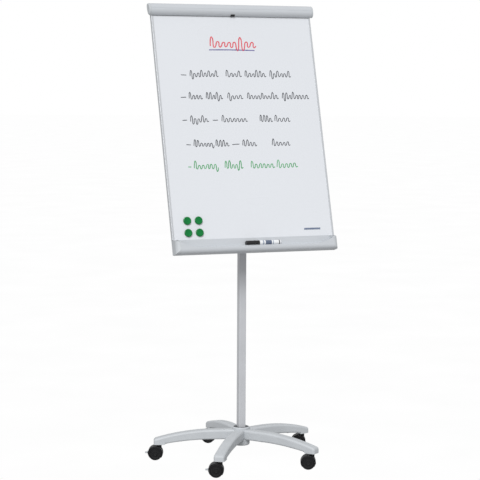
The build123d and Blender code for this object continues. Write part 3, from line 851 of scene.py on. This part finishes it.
def placeBar():
    width, middle = barSizes["right"] - barSizes["left"], (barSizes["right"] + barSizes["left"]) / 2
    bpy.ops.mesh.primitive_plane_add(size=1)
    piece = bpy.context.object
    piece.scale = (width, barSizes["depth"], 1)
    bpy.ops.object.transform_apply(scale=True)
    editAlone(piece)
    bpy.ops.mesh.select_all(action="SELECT")
    bpy.ops.mesh.bevel(offset=barSizes["round"], segments=4, affect="VERTICES")
    bpy.ops.mesh.select_all(action="SELECT")
    bpy.ops.mesh.extrude_region_move(TRANSFORM_OT_translate={"value": (0, 0, barSizes["thickness"])})
    closeEdit()
    finish = feltInk("barPrint", tone(128, 138, 158), tone(104, 116, 140))
    spot = Matrix.Translation((middle, 0, barSizes["height"]))
    place = board @ spot @ Matrix.Rotation(math.pi / 2, 4, "X")
    settle(piece, "plainBar", "board", place, finish)


placeBar()
print("bar done")


# Floor, light and camera

studio = {
    "sky": 0.55, "backdrop": 1.0, "sun": 2.1,
    "sunSpread": 28, "sunTurn": -30, "sunHeight": 40, "floorShade": 182,
}


def makeFloor():
    bpy.ops.mesh.primitive_circle_add(vertices=96, radius=60, fill_type="NGON")
    floor = bpy.context.object
    floor.name = "studioFloor"
    # seen directly it is as white as the backdrop; its bounced light is that of a greyer floor
    finish, tree, shader = newFinish("paleFloor", specular=0.05)
    shade = studio["floorShade"]
    cloud = speckle(tree, 2, 2)
    glow = tree.nodes.new("ShaderNodeEmission")
    white = tintBy(tree, shader, cloud, tone(253, 253, 253), tone(255, 255, 255))
    tree.links.new(white.outputs["Color"], glow.inputs["Color"])
    tintBy(tree, shader, cloud, tone(shade, shade, shade), tone(shade + 4, shade + 4, shade + 4))
    roughenBy(tree, shader, speckle(tree, 30, 2), 0.85, 0.95)
    ray = tree.nodes.new("ShaderNodeLightPath")
    blend = tree.nodes.new("ShaderNodeMixShader")
    tree.links.new(ray.outputs["Is Camera Ray"], blend.inputs[0])
    tree.links.new(shader.outputs["BSDF"], blend.inputs[1])
    tree.links.new(glow.outputs["Emission"], blend.inputs[2])
    tree.links.new(blend.outputs[0], tree.nodes["Material Output"].inputs["Surface"])
    floor.data.materials.append(finish)


def makeLight():
    world = bpy.data.worlds.new("studioSky")
    scene.world = world
    world.use_nodes = True
    tree = world.node_tree
    sky = tree.nodes["Background"]
    sky.inputs["Color"].default_value = (1, 1, 1, 1)
    sky.inputs["Strength"].default_value = studio["sky"]
    backdrop = tree.nodes.new("ShaderNodeBackground")
    backdrop.inputs["Color"].default_value = (1, 1, 1, 1)
    backdrop.inputs["Strength"].default_value = studio["backdrop"]
    ray = tree.nodes.new("ShaderNodeLightPath")
    blend = tree.nodes.new("ShaderNodeMixShader")
    tree.links.new(ray.outputs["Is Camera Ray"], blend.inputs[0])
    tree.links.new(sky.outputs[0], blend.inputs[1])
    tree.links.new(backdrop.outputs[0], blend.inputs[2])
    tree.links.new(blend.outputs[0], tree.nodes["World Output"].inputs["Surface"])
    lamp = bpy.data.lights.new("keyLight", "SUN")
    lamp.energy = studio["sun"]
    lamp.angle = math.radians(studio["sunSpread"])
    key = bpy.data.objects.new("keyLight", lamp)
    scene.collection.objects.link(key)
    turn, height = math.radians(studio["sunTurn"]), math.radians(studio["sunHeight"])
    level = math.cos(height)
    towards = Vector((math.sin(turn) * level, -math.cos(turn) * level, math.sin(height)))
    key.matrix_world = standOn((0, 0, 4), towards)


cameraSizes = {
    "distance": 6.985, "turn": 21.93, "height": 1.581,
    "yaw": 21.865, "pitch": 5.5, "roll": 0.28, "lens": 128.76,
}


def makeCamera():
    lens = bpy.data.cameras.new("mainCamera")
    lens.lens = cameraSizes["lens"]
    lens.clip_start, lens.clip_end = 0.1, 200
    camera = bpy.data.objects.new("mainCamera", lens)
    scene.collection.objects.link(camera)
    axis = middleOf("column_tube")
    turn = math.radians(cameraSizes["turn"])
    across = axis.x - math.sin(turn) * cameraSizes["distance"]
    along = axis.y - math.cos(turn) * cameraSizes["distance"]
    spot = Matrix.Translation((across, along, cameraSizes["height"]))
    yaw = Matrix.Rotation(-math.radians(cameraSizes["yaw"]), 4, "Z")
    pitch = Matrix.Rotation(math.radians(90 - cameraSizes["pitch"]), 4, "X")
    roll = Matrix.Rotation(math.radians(cameraSizes["roll"]), 4, "Z")
    camera.matrix_world = spot @ yaw @ pitch @ roll
    scene.camera = camera


makeFloor()
makeLight()
makeCamera()
scene.view_settings.view_transform = "Standard"
print("floor, light and camera done")
